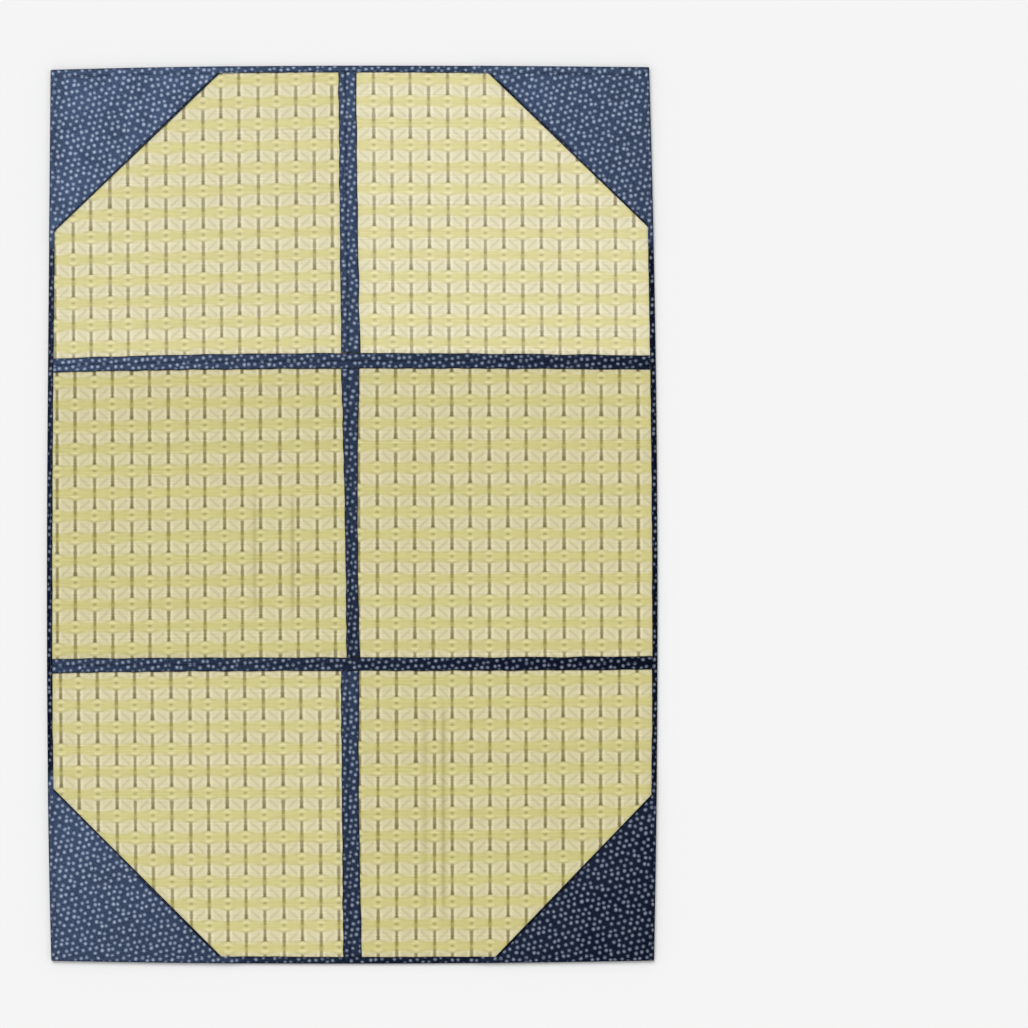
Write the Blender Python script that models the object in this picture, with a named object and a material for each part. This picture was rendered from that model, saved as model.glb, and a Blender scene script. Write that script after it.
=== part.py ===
"""Tatami mat: six woven rush squares joined and bound with dotted cotton.

Run with: blender --background --python part.py
Metres, +Z up. The mat lies flat on z = 0 with its length along Y, and the origin is
under the middle of its box. Left and right are -X and +X, foot and head are -Y and +Y.
"""

import bmesh
import bpy
import numpy as np

MM = 0.001

# Thickness of the layers, and the room between them
RUSH = 3.0 * MM
RUSH_PRESSED = 1.4 * MM
COTTON = 1.0 * MM
GAP = 0.3 * MM
EDGE_ROOM = 0.6 * MM

# Heights in a seam: cotton below, the pressed edge of the rush, cotton above
SEAM_FLOOR = COTTON + GAP
SEAM_ROOF = SEAM_FLOOR + RUSH_PRESSED
LIP_UNDER = SEAM_ROOF + GAP
LIP_TOP = LIP_UNDER + COTTON
CORNER_RISE = COTTON + GAP

# Ribs of the rush, with a valley along each warp and a shoulder, in pitches, to each side
RIB_PITCH = 18.6 * MM
VALLEY_DEPTH = 0.6 * MM
SHOULDER = 0.28
LEAST_COLUMN = 1.5 * MM
FLAT_COLUMNS = 5

# How the rush swells again beside a seam
SEAM_CLEARANCE = 0.6 * MM
SWELL = 6.0 * MM

# Strips: where the groove over the joint runs, and how deep it is
JOINT_WEB = 1.4 * MM
CENTRE_GROOVE_AT, CENTRE_GROOVE = 0.38, 0.8 * MM
CROSS_GROOVE_AT, CROSS_GROOVE = 0.5, 0.4 * MM
GROOVE_HALF = 2.2 * MM
SOFT_EDGE = 0.35 * MM

# Corner cloths: how far beyond its visible point a binding starts to rise over it and is
# fully up, and how far the point itself runs on under the binding
RISE_FROM, RISE_TO = 24 * MM, 9 * MM
POINT_UNDER = 3.0 * MM

# Outline, in mm from the middle of the mat, at five places along each line
ALONG = (-445, -222, 0, 222, 445)
ACROSS = (-300, -150, 0, 150, 300)
OUTLINE = {
    "left": (ALONG, (-300.6, -304.1, -305.5, -302.9, -301.3)),
    "right": (ALONG, (302.2, 305.3, 305.5, 302.8, 297.3)),
    "foot": (ACROSS, (-445.8, -447.6, -449.4, -447.4, -445.6)),
    "head": (ACROSS, (445.1, 448.4, 449.4, 449.1, 447.8)),
}

# How much of each binding shows, in mm, at the same places
BINDING_WIDTH = {
    "left": (ALONG, (5.6, 5.4, 5.4, 5.5, 5.6)),
    "right": (ALONG, (5.6, 5.5, 5.3, 5.9, 5.0)),
    "foot": (ACROSS, (7.0, 7.2, 6.8, 6.6, 6.4)),
    "head": (ACROSS, (7.5, 8.0, 5.0, 8.4, 9.0)),
}
INWARD = {"left": 1, "right": -1, "foot": 1, "head": -1}

# Foot and head edges of the two cross strips, in mm
CROSS_STRIPS = {
    "foot": (
        ACROSS,
        (-158.2, -156.5, -155.6, -155.7, -154.4),
        (-143.9, -142.7, -142.3, -142.2, -141.0),
    ),
    "head": (
        ACROSS,
        (142.8, 144.8, 147.2, 145.8, 145.5),
        (156.4, 160.4, 162.2, 161.1, 159.6),
    ),
}

# Left and right edges of the three pieces of the centre strip, in mm
CENTRE_STRIPS = {
    "foot": ((-415, -295, -175), (-8.9, -9.9, -10.9), (9.4, 7.2, 7.3)),
    "middle": ((-115, 5, 125), (-5.6, -7.2, -10.2), (7.3, 5.7, 7.1)),
    "head": ((185, 275, 425), (-10.9, -11.9, -13.3), (7.9, 6.2, 4.5)),
}

# A valley of each rush square, in mm from the middle, halfway along the square
VALLEYS = {
    ("foot", "left"): -291.3,
    ("foot", "right"): 27.2,
    ("middle", "left"): -294.6,
    ("middle", "right"): 24.1,
    ("head", "left"): -279.7,
    ("head", "right"): 22.2,
}

# Where the slanted edge of each corner cloth meets the side and end bindings, in mm
CORNERS = {
    ("foot", "left"): ((-296.9, -275.0), (-129.9, -442.0)),
    ("foot", "right"): ((299.2, -280.0), (143.2, -442.0)),
    ("head", "left"): ((-294.9, 286.0), (-131.9, 442.0)),
    ("head", "right"): ((299.2, 285.0), (136.2, 442.0)),
}

# Base colour and roughness of each finish
FINISHES = {
    "rush": ((0.70, 0.64, 0.33, 1.0), 0.55),
    "strip_cotton": ((0.030, 0.055, 0.130, 1.0), 0.85),
    "corner_cotton": ((0.045, 0.080, 0.175, 1.0), 0.85),
    "binding_cotton": ((0.025, 0.045, 0.110, 1.0), 0.85),
}


def line(places, values):
    """A smooth line through values in mm: given a place along it, where it lies across."""
    fit = np.polynomial.Polynomial.fit(places, values, min(3, len(places) - 1))
    return lambda along: float(fit(along / MM)) * MM


def level(value):
    """A straight line square to the mat."""
    return lambda along: value


def beside(curve, offset):
    return lambda along: curve(along) + offset


def between(first, second, share):
    return lambda along: first(along) + share * (second(along) - first(along))


def meet(x_of, y_of):
    """The point where a line that runs along the mat crosses one that runs across it."""
    x = y = 0.0
    for _ in range(5):
        x, y = x_of(y), y_of(x)
    return x_of(y), y


def clamp(value):
    return min(1.0, max(0.0, value))


OUTER = {side: line(*table) for side, table in OUTLINE.items()}


def lip_line(side):
    """The inner edge of a binding."""
    width = line(*BINDING_WIDTH[side])
    return lambda along: OUTER[side](along) + INWARD[side] * width(along)


LIP = {side: lip_line(side) for side in OUTLINE}


def strip_lines(table):
    """Both edges of a strip."""
    places, low, high = table
    return line(places, low), line(places, high)


CROSS = {row: strip_lines(table) for row, table in CROSS_STRIPS.items()}
CENTRE = {row: strip_lines(table) for row, table in CENTRE_STRIPS.items()}


def finish_of(name):
    """The material of one finish, made once."""
    if name in bpy.data.materials:
        return bpy.data.materials[name]
    colour, roughness = FINISHES[name]
    material = bpy.data.materials.new(name)
    material.use_nodes = True
    material.diffuse_color = colour
    shader = material.node_tree.nodes["Principled BSDF"]
    shader.inputs["Base Color"].default_value = colour
    shader.inputs["Roughness"].default_value = roughness
    shader.inputs["Metallic"].default_value = 0.0
    return material


def loft(name, rings, finish, collection):
    """Skin a row of rings, each of as many points, and close both ends."""
    shape = bmesh.new()
    loops = [[shape.verts.new(point) for point in ring] for ring in rings]
    for near, far in zip(loops, loops[1:]):
        for i in range(len(near)):
            shape.faces.new((near[i - 1], near[i], far[i], far[i - 1]))
    for end in (loops[0], loops[-1]):
        shape.faces.new(end)
    bmesh.ops.recalc_face_normals(shape, faces=shape.faces)
    mesh = bpy.data.meshes.new(name)
    shape.to_mesh(mesh)
    shape.free()
    mesh.materials.append(finish_of(finish))
    piece = bpy.data.objects.new(name, mesh)
    collection.objects.link(piece)
    return piece


def seam_columns(edge, lip, inward):
    """Lines beside one seam of a rush square: its hidden edge, the cloth's lip, and where it is full.

    Each has its place, its fullness from pressed 0 to full 1, and its share of a valley's depth.
    """
    return [
        (edge, 0.0, 0.0),
        (beside(lip, inward * SEAM_CLEARANCE), 0.0, 0.0),
        (beside(lip, inward * (SEAM_CLEARANCE + SWELL)), 1.0, 0.0),
    ]


def full_columns(first, last, parts):
    """Plain lines that part the full rush between two others."""
    return [(between(first, last, k / parts), 1.0, 0.0) for k in range(1, parts)]


def rib_columns(left, right, valley, middle):
    """Lines along a rush square's valleys and the shoulders beside them."""
    low, high = left(middle), right(middle)
    first = round((low - valley) / RIB_PITCH)
    last = round((high - valley) / RIB_PITCH)
    columns = []
    for k in range(first, last + 1):
        for step, depth in ((-SHOULDER, 0.0), (0.0, 1.0), (SHOULDER, 0.0)):
            x = valley + (k + step) * RIB_PITCH
            if low + LEAST_COLUMN < x < high - LEAST_COLUMN:
                share = (x - low) / (high - low)
                columns.append((between(left, right, share), 1.0, depth))
    return columns


def rush_square(row, side, borders, collection):
    """One ribbed rush sheet, pressed thin where the seams hold its edges."""
    (left, left_lip), (right, right_lip), (foot, foot_lip), (head, head_lip) = borders
    middle = (foot_lip(0.0) + head_lip(0.0)) / 2
    west = seam_columns(left, left_lip, 1)
    east = seam_columns(right, right_lip, -1)[::-1]
    ribs = rib_columns(west[-1][0], east[0][0], VALLEYS[row, side] * MM, middle)
    flat = full_columns(west[-1][0], east[0][0], FLAT_COLUMNS)
    south = seam_columns(foot, foot_lip, 1)
    north = seam_columns(head, head_lip, -1)[::-1]
    inner = full_columns(south[-1][0], north[0][0], 3)

    rings = []
    for y_of, row_full, _ in south + inner + north:
        top, base = [], []
        for x_of, column_full, valley in west + ribs + east:
            full = min(row_full, column_full)
            height = SEAM_ROOF + full * (RUSH - SEAM_ROOF - valley * VALLEY_DEPTH)
            top.append((*meet(x_of, y_of), height))
        for x_of, column_full, _ in west + flat + east:
            full = min(row_full, column_full)
            base.append((*meet(x_of, y_of), SEAM_FLOOR * (1 - full)))
        rings.append(top + base[::-1])
    return loft(f"rush_{row}_{side}", rings, "rush", collection)


def strip_section(width, groove_at, groove):
    """Cloth folded over the edges of two squares and sewn down between them: an H on its side."""
    web = groove_at * width
    upper = [
        (0.0, LIP_TOP - SOFT_EDGE),
        (SOFT_EDGE, LIP_TOP),
        (web - GROOVE_HALF, LIP_TOP),
        (web, LIP_TOP - groove),
        (web + GROOVE_HALF, LIP_TOP),
        (width - SOFT_EDGE, LIP_TOP),
        (width, LIP_TOP - SOFT_EDGE),
    ]
    right = [
        (width, LIP_UNDER),
        (web + JOINT_WEB / 2, LIP_UNDER),
        (web + JOINT_WEB / 2, COTTON),
        (width, COTTON),
        (width, 0.0),
    ]
    left = [
        (0.0, 0.0),
        (0.0, COTTON),
        (web - JOINT_WEB / 2, COTTON),
        (web - JOINT_WEB / 2, LIP_UNDER),
        (0.0, LIP_UNDER),
    ]
    return upper + right + left


def strip(name, edges, stations, groove_at, groove, runs_across, collection):
    """A strip between its two edge lines, with a section at each station line along it."""
    low, high = edges
    rings = []
    for station in stations:
        start = meet(station, low) if runs_across else meet(low, station)
        end = meet(station, high) if runs_across else meet(high, station)
        width = end[1] - start[1] if runs_across else end[0] - start[0]
        ring = []
        for across, height in strip_section(width, groove_at, groove):
            lengthwise = between(low, high, across / width)
            point = meet(station, lengthwise) if runs_across else meet(lengthwise, station)
            ring.append((*point, height))
        rings.append(ring)
    return loft(name, rings, "strip_cotton", collection)


def binding_section(width, rise):
    """Cloth folded round the mat's edge: distances inward from the edge, and heights."""
    roof, under = LIP_TOP + rise, LIP_UNDER + rise
    return [
        (width, under),
        (width, roof - SOFT_EDGE),
        (width - SOFT_EDGE, roof),
        (COTTON, roof),
        (SOFT_EDGE, roof - SOFT_EDGE),
        (0.0, roof - COTTON),
        (0.0, COTTON),
        (SOFT_EDGE, SOFT_EDGE),
        (COTTON, 0.0),
        (width, 0.0),
        (width, COTTON),
        (COTTON, COTTON),
        (COTTON, under),
    ]


def corner_rise(place, tips):
    """How far a binding is lifted by the corner cloths at its ends."""
    low, high = tips
    share = max(low + RISE_FROM - place, place - high + RISE_FROM) / (RISE_FROM - RISE_TO)
    return CORNER_RISE * clamp(share)


def binding(side, ends, tips, collection):
    """One side of the binding, mitred against the bindings at its two ends."""
    runs_along = side in ("left", "right")
    low, high = tips
    width = line(*BINDING_WIDTH[side])
    lying = np.linspace(low + RISE_FROM, high - RISE_FROM, 5)
    places = [
        (OUTER[ends[0]](0.0) + low) / 2,
        low + RISE_TO,
        *lying,
        high - RISE_TO,
        (OUTER[ends[1]](0.0) + high) / 2,
    ]

    def ring(station_of, place):
        points = []
        for inward, height in binding_section(width(place), corner_rise(place, tips)):
            lengthwise = beside(OUTER[side], INWARD[side] * inward)
            station = station_of(inward)
            point = meet(lengthwise, station) if runs_along else meet(station, lengthwise)
            points.append((*point, height))
        return points

    def mitre(end):
        return lambda inward: beside(OUTER[end], INWARD[end] * (inward + GAP / 2))

    rings = [ring(mitre(ends[0]), low)]
    for place in places:
        rings.append(ring(lambda inward, place=place: level(place), place))
    rings.append(ring(mitre(ends[1]), high))
    return loft(f"binding_{side}", rings, "binding_cotton", collection)


def corner_cloth(row, side, collection):
    """A three-cornered cloth over a corner of the rush, its outer edges under the bindings."""
    (side_x, side_y), (end_x, end_y) = CORNERS[row, side]
    slope = (end_y - side_y) / (end_x - side_x)
    in_x, in_y = INWARD[side], INWARD[row]
    hidden_side = beside(OUTER[side], in_x * (COTTON + EDGE_ROOM))
    hidden_end = beside(OUTER[row], in_y * (COTTON + EDGE_ROOM))

    def slant(x):
        return side_y * MM + slope * (x - side_x * MM)

    def lift(x, y):
        """0 under a binding, 1 where the cloth lies on the full rush."""
        from_side = in_x * (x - LIP[side](y))
        from_end = in_y * (y - LIP[row](x))
        return clamp((min(from_side, from_end) - SEAM_CLEARANCE) / SWELL)

    seam = SEAM_CLEARANCE + SWELL
    lip = beside(LIP[side], in_x * SEAM_CLEARANCE)
    full = beside(LIP[side], in_x * seam)
    narrow = level(end_x * MM - in_x * seam / abs(slope))
    point = level(end_x * MM + in_x * POINT_UNDER)
    rings = []
    for x_of in [hidden_side, lip, full, between(full, narrow, 1 / 2), narrow, point]:
        x, outer_y = meet(x_of, hidden_end)
        run = abs(meet(x_of, slant)[1] - outer_y)
        hidden = abs(LIP[row](x) - outer_y) + SEAM_CLEARANCE
        lower, upper = [], []
        for share in (0.0, min(hidden / run, 1 / 3), min((hidden + SWELL) / run, 2 / 3), 1.0):
            x, y = meet(x_of, between(hidden_end, slant, share))
            base = LIP_UNDER + GAP * lift(x, y)
            lower.append((x, y, base))
            upper.append((x, y, base + COTTON))
        rings.append(lower + upper[::-1])
    return loft(f"corner_{row}_{side}", rings, "corner_cotton", collection)


def build():
    for old in list(bpy.data.objects):
        bpy.data.objects.remove(old, do_unlink=True)
    mat = bpy.data.collections.new("tatami_mat")
    bpy.context.scene.collection.children.link(mat)

    # Where the rush ends inside each seam, and where the cloth over it ends
    web = JOINT_WEB / 2 + EDGE_ROOM
    hem = {side: beside(OUTER[side], INWARD[side] * (COTTON + EDGE_ROOM)) for side in OUTER}
    joint = {row: between(*CROSS[row], CROSS_GROOVE_AT) for row in CROSS}
    lengthwise = {
        "foot": ((hem["foot"], LIP["foot"]), (beside(joint["foot"], -web), CROSS["foot"][0])),
        "middle": (
            (beside(joint["foot"], web), CROSS["foot"][1]),
            (beside(joint["head"], -web), CROSS["head"][0]),
        ),
        "head": ((beside(joint["head"], web), CROSS["head"][1]), (hem["head"], LIP["head"])),
    }
    for row, (foot, head) in lengthwise.items():
        groove = between(*CENTRE[row], CENTRE_GROOVE_AT)
        left_of_joint = (beside(groove, -web), CENTRE[row][0])
        right_of_joint = (beside(groove, web), CENTRE[row][1])
        outer_left, outer_right = (hem["left"], LIP["left"]), (hem["right"], LIP["right"])
        rush_square(row, "left", (outer_left, left_of_joint, foot, head), mat)
        rush_square(row, "right", (right_of_joint, outer_right, foot, head), mat)

        start, end = beside(foot[1], GAP), beside(head[1], -GAP)
        stations = [between(start, end, share) for share in (0, 0.25, 0.5, 0.75, 1)]
        name = f"centre_strip_{row}"
        strip(name, CENTRE[row], stations, CENTRE_GROOVE_AT, CENTRE_GROOVE, False, mat)

    start, end = beside(LIP["left"], GAP), beside(LIP["right"], -GAP)
    stations = [between(start, end, share / 8) for share in range(9)]
    for row, edges in CROSS.items():
        strip(f"cross_strip_{row}", edges, stations, CROSS_GROOVE_AT, CROSS_GROOVE, True, mat)

    for side in ("left", "right"):
        tips = [CORNERS[row, side][0][1] * MM for row in ("foot", "head")]
        binding(side, ("foot", "head"), tips, mat)
    for row in ("foot", "head"):
        tips = [CORNERS[row, side][1][0] * MM for side in ("left", "right")]
        binding(row, ("left", "right"), tips, mat)
    for row, side in CORNERS:
        corner_cloth(row, side, mat)


build()
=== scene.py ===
"""Looks of the tatami mat: rush woven in a hemp-leaf figure, dotted indigo cotton, thread, light, camera.

Metres, +Z up. Left and right are -X and +X, foot and head are -Y and +Y.
"""

import bpy
import numpy as np
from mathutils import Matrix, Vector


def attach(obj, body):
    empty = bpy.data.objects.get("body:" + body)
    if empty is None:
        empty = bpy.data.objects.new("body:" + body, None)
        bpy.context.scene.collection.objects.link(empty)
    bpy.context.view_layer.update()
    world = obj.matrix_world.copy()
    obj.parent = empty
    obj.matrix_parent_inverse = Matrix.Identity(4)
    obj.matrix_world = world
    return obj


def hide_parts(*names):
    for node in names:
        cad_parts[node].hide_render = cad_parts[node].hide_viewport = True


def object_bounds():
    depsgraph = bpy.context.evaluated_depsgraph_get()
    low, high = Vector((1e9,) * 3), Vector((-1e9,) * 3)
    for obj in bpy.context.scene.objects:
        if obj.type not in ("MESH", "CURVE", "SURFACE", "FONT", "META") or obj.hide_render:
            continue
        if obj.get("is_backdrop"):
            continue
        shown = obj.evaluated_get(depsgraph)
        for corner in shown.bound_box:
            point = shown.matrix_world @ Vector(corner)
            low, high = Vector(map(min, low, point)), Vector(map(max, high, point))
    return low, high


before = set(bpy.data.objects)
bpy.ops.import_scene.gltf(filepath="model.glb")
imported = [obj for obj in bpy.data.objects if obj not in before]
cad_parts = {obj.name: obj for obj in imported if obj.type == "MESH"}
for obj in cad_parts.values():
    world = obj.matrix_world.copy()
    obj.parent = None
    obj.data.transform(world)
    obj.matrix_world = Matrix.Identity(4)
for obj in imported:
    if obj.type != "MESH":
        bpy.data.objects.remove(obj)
cad_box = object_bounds()

MM = 0.001
SEED = 7

# Photograph: one pixel is one millimetre, and the mat's middle is at this pixel
PHOTO_SIDE = 1028
MAT_PIXEL = (351.85, 515.0)
CAMERA_HEIGHT = 3.2
SENSOR = 36.0

# Layers and seams, as in the solids
RUSH, RUSH_PRESSED, COTTON = 3.0 * MM, 1.4 * MM, 1.0 * MM
GAP, EDGE_ROOM = 0.3 * MM, 0.6 * MM
SEAM_FLOOR = COTTON + GAP
SEAM_ROOF = SEAM_FLOOR + RUSH_PRESSED
LIP_UNDER = SEAM_ROOF + GAP
LIP_TOP = LIP_UNDER + COTTON
CORNER_RISE = COTTON + GAP
SEAM_CLEARANCE, SWELL = 0.6 * MM, 6.0 * MM
JOINT_WEB = 1.4 * MM
CENTRE_GROOVE_AT, CENTRE_GROOVE = 0.38, 0.8 * MM
CROSS_GROOVE_AT, CROSS_GROOVE = 0.5, 0.4 * MM
GROOVE_HALF = 2.2 * MM
RISE_FROM, RISE_TO = 24 * MM, 9 * MM
POINT_UNDER = 3.0 * MM

# Weave: warps and star rows this far apart, and so many rushes from star row to star row
WARP, STAR_ROW = 18.6, 22.1
RUSHES = 16
RUSH_RIDGE = 0.12 * MM
ROUGH_RUSH, ROUGH_FIBRE = 0.03 * MM, 0.012 * MM
WARP_OFF_LINE = 0.7 * MM

# Mesh of a square, in mm: its columns from each warp, how many rows of the top there are to one of the
# underside, and how far in from the square's edges it bends to follow them
WARP_STEPS = (-5.8, -2.7, -1.2, 0.0, 1.2, 2.7, 5.8, 9.3)
UNDER_ROWS = 32
BEND_REACH = 30 * MM

# Sewn cloth: how round its folds are, how far apart its sections are, and its stitches
FOLD = 0.45 * MM
OUTER_FOLD = 1.2 * MM
UNDER_FOLD = 0.25 * MM
FOLD_STEPS = (0.0, 0.13, 0.45, 1.0, 2.2)
SECTION = 3.5 * MM
MITRE_ROOM = 12 * MM
EDGE_SWAY, FACE_SWAY, LIP_SWAY = 0.35 * MM, 0.10 * MM, 0.2 * MM
CORNER_COLUMNS, CORNER_ROWS = 49, 30
SAG, RIPPLE = 0.22 * MM, 0.12 * MM
STITCH_PITCH, STITCH_LENGTH, THREAD = 3.6 * MM, 2.4 * MM, 0.42 * MM
STITCH_INSET, STITCH_SKEW = 1.5 * MM, 0.12
STRIP_END_ROOM, BINDING_END_ROOM = 2 * MM, 16 * MM

# How much painted light each cloth has, from 0 for black to 1 for the corner cloths: below 1 its painted
# shade is deeper
CROSS_PAINTED_LIGHT = 0.72
CENTRE_PAINTED_LIGHT = {"foot": 0.95, "middle": 0.74, "head": 0.80}
BINDING_PAINTED_LIGHT = {"left": 0.25, "right": 0.5, "foot": 0.85, "head": 0.75}

# Places, in mm from the middle of the mat
ALONG = (-445, -222, 0, 222, 445)
ACROSS = (-300, -150, 0, 150, 300)
INWARD = {"left": 1, "right": -1, "foot": 1, "head": -1}
OUTLINE = {
    "left": (ALONG, (-300.6, -304.1, -305.5, -302.9, -301.3)),
    "right": (ALONG, (302.2, 305.3, 305.5, 302.8, 297.3)),
    "foot": (ACROSS, (-445.8, -447.6, -449.4, -447.4, -445.6)),
    "head": (ACROSS, (445.1, 448.4, 449.4, 449.1, 447.8)),
}
BINDING_WIDTH = {
    "left": (ALONG, (5.6, 5.4, 5.4, 5.5, 5.6)),
    "right": (ALONG, (5.6, 5.5, 5.3, 5.9, 5.0)),
    "foot": (ACROSS, (7.0, 7.2, 6.8, 6.6, 6.4)),
    "head": (ACROSS, (7.5, 8.0, 5.0, 8.4, 9.0)),
}
CROSS_STRIPS = {
    "foot": (
        ACROSS,
        (-158.2, -156.5, -155.6, -155.7, -154.4),
        (-143.9, -142.7, -142.3, -142.2, -141.0),
    ),
    "head": (
        ACROSS,
        (142.8, 144.8, 147.2, 145.8, 145.5),
        (156.4, 160.4, 162.2, 161.1, 159.6),
    ),
}
CENTRE_STRIPS = {
    "foot": ((-415, -295, -175), (-8.9, -9.9, -10.9), (9.4, 7.2, 7.3)),
    "middle": ((-115, 5, 125), (-5.6, -7.2, -10.2), (7.3, 5.7, 7.1)),
    "head": ((185, 275, 425), (-10.9, -11.9, -13.3), (7.9, 6.2, 4.5)),
}

# Each rush square: a star near its middle, how far its warps and its star rows are apart, how far the
# warps lean to the right and the rows rise over 100 mm, and how much painted light it has, most at the
# head
SQUARES = {
    ("foot", "left"): ((-124.6, -256.0), (18.50, 22.15), (-0.7, 0.7), 0.30),
    ("foot", "right"): ((137.6, -253.8), (18.50, 22.10), (-0.1, 0.9), 0.05),
    ("middle", "left"): ((-146.4, 0.8), (18.55, 22.25), (-0.2, 1.4), 0.10),
    ("middle", "right"): ((155.9, 25.4), (18.70, 22.25), (-0.2, 0.2), 0.15),
    ("head", "left"): ((-130.6, 302.5), (18.60, 21.90), (-0.4, 2.3), 0.70),
    ("head", "right"): ((133.5, 282.0), (18.60, 21.90), (-0.6, -0.5), 1.00),
}

# Rushes pulled apart along the mat: where across it, and from where to where along it. Then how wide each
# line is, how far it fades out at its ends, and how deep it is
PULLED = {
    ("foot", "right"): ((72.2, 91.7), (-415, -175)),
    ("middle", "left"): ((-97.9, -58.9), (-115, 35)),
}
PULL_WIDTH, PULL_FADE, PULL_DEPTH = 1.6, 40, 0.35 * MM

# Where the slanted edge of each corner cloth meets the side and end bindings
CORNERS = {
    ("foot", "left"): ((-296.9, -275.0), (-129.9, -442.0)),
    ("foot", "right"): ((299.2, -280.0), (143.2, -442.0)),
    ("head", "left"): ((-294.9, 286.0), (-131.9, 442.0)),
    ("head", "right"): ((299.2, 285.0), (136.2, 442.0)),
}


def linear_colour(red, green, blue):
    """A colour on screen, 0 to 255, as the light that the cloth gives back."""
    parts = (np.array([red, green, blue]) / 255 + 0.055) / 1.055
    return (*(float(part) for part in parts**2.4), 1.0)


# Rush colours in painted shade and in painted light, for squares from shaded to lit
CREAM = linear_colour(212, 204, 161), linear_colour(230, 223, 188)
YELLOW = linear_colour(202, 194, 126), linear_colour(220, 212, 151)
EDGE_HIGHLIGHT = linear_colour(226, 219, 180), linear_colour(244, 238, 210)
STAR_HIGHLIGHT = linear_colour(226, 218, 166), linear_colour(244, 236, 192)
PETAL_SHADE = linear_colour(190, 182, 138), linear_colour(206, 199, 162)
STAR_OUTLINE = linear_colour(184, 176, 118), linear_colour(202, 194, 144)
# Slits: the warp seen in the gap, with painted shade that is heaviest at their foot
SLIT_FOOT = linear_colour(110, 100, 46), linear_colour(134, 125, 84)
SLIT_HEAD = linear_colour(136, 127, 75), linear_colour(167, 158, 123)
SLIT_OLIVE = linear_colour(141, 131, 52), linear_colour(158, 149, 90)
SLIT_PALE = linear_colour(164, 155, 82), linear_colour(186, 178, 120)

# Cotton ground under the painted light of the mat's head-left corner and the painted shade of its
# foot-right corner, the painted shade of its folds, and its dots
INDIGO, INDIGO_SHADED, FOLD_SHADE = linear_colour(64, 80, 109), linear_colour(4, 12, 32), linear_colour(4, 8, 20)
DOT_PALE, DOT_DULL = linear_colour(186, 201, 225), linear_colour(156, 171, 199)
FLOOR_PALE = linear_colour(237, 237, 237)

# Rows of dots: how far apart the dots are, and how far the rows are turned
DOT_PITCH, DOT_TURN = 6.75 * MM, 17

# Threads of the cotton's weave and turns of the sewing thread
COTTON_WEAVE, THREAD_TWIST = 0.7 * MM, 0.5 * MM

# Half the mat's width and length, over which the painted shade deepens
HALF_WIDTH, HALF_LENGTH = 0.3, 0.45

# Floor, and light: how strong it is, and how broad and how far tilted the soft light is, in degrees
FLOOR_REACH, FLOOR_DROP = 40.0, 0.1 * MM
EVEN_LIGHT, SOFT_LIGHT = 0.62, 1.75
SOFT_BREADTH, SOFT_TILT = 35, (-32, -14)


# Lines and places


def line(places, values):
    """A smooth line through values in mm: given a place along it, where it lies across."""
    fit = np.polynomial.Polynomial.fit(places, values, min(3, len(places) - 1))
    return lambda along: fit(np.asarray(along) / MM) * MM


def level(value):
    """A straight line square to the mat."""
    return lambda along: value + 0.0 * np.asarray(along)


def beside(curve, offset):
    """The line that lies so far to the right of another, or towards the head from it."""
    return lambda along: curve(along) + offset


def between(first, second, share):
    """The line that lies at a share of the way from one line to another."""
    return lambda along: first(along) + share * (second(along) - first(along))


def meet(x_of, y_of):
    """Where lines that run along the mat cross lines that run across it."""
    x = y = 0.0
    for _ in range(5):
        x, y = x_of(y), y_of(x)
    return x_of(y), y


def ease(value, low, high):
    """0 up to low, 1 from high, and an S between them."""
    share = np.clip((value - low) / (high - low), 0.0, 1.0)
    return share * share * (3 - 2 * share)


def sway(along, reach, seed):
    """A slow hand-made wavering of up to about reach along a line."""
    rng = np.random.default_rng(SEED + seed)
    lengths, starts = rng.uniform(0.02, 0.09, 4), rng.uniform(0.0, 6.3, 4)
    waves = np.sin(2 * np.pi * np.asarray(along)[..., None] / lengths + starts)
    return reach * waves.mean(axis=-1) * 1.6


OUTER = {side: line(*table) for side, table in OUTLINE.items()}
CROSS = {row: (line(p, low), line(p, high)) for row, (p, low, high) in CROSS_STRIPS.items()}
CENTRE = {row: (line(p, low), line(p, high)) for row, (p, low, high) in CENTRE_STRIPS.items()}


def lip_line(side):
    """The inner edge of a binding."""
    width = line(*BINDING_WIDTH[side])
    return lambda along: OUTER[side](along) + INWARD[side] * width(along)


LIP = {side: lip_line(side) for side in OUTLINE}


# Nodes of the materials and of the stitches


class Socket:
    """An output of a node, on which Python's operators add Math nodes."""

    def __init__(self, tree, output):
        self.tree, self.output = tree, output

    def math(self, operation, *others):
        return self.tree.add("ShaderNodeMath", {"operation": operation}, dict(enumerate((self, *others))))

    def swapped(self, operation, other):
        return self.tree.add("ShaderNodeMath", {"operation": operation}, {0: other, 1: self})

    def __add__(self, other):
        return self.math("ADD", other)

    def __radd__(self, other):
        return self.math("ADD", other)

    def __sub__(self, other):
        return self.math("SUBTRACT", other)

    def __rsub__(self, other):
        return self.swapped("SUBTRACT", other)

    def __mul__(self, other):
        return self.math("MULTIPLY", other)

    def __rmul__(self, other):
        return self.math("MULTIPLY", other)

    def __truediv__(self, other):
        return self.math("DIVIDE", other)

    def __mod__(self, other):
        return self.math("FLOORED_MODULO", other)

    def __abs__(self):
        return self.math("ABSOLUTE")

    def __round__(self):
        return self.math("ROUND")

    def ease(self, low, high):
        """0 up to low, 1 from high, and an S between them."""
        steps = {"Value": self, "From Min": low, "From Max": high}
        return self.tree.add("ShaderNodeMapRange", {"interpolation_type": "SMOOTHSTEP"}, steps)

    def near(self, place, full, none):
        """1 within full of a place, and 0 beyond none from it."""
        return 1 - abs(self - place).ease(full, none)


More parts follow.
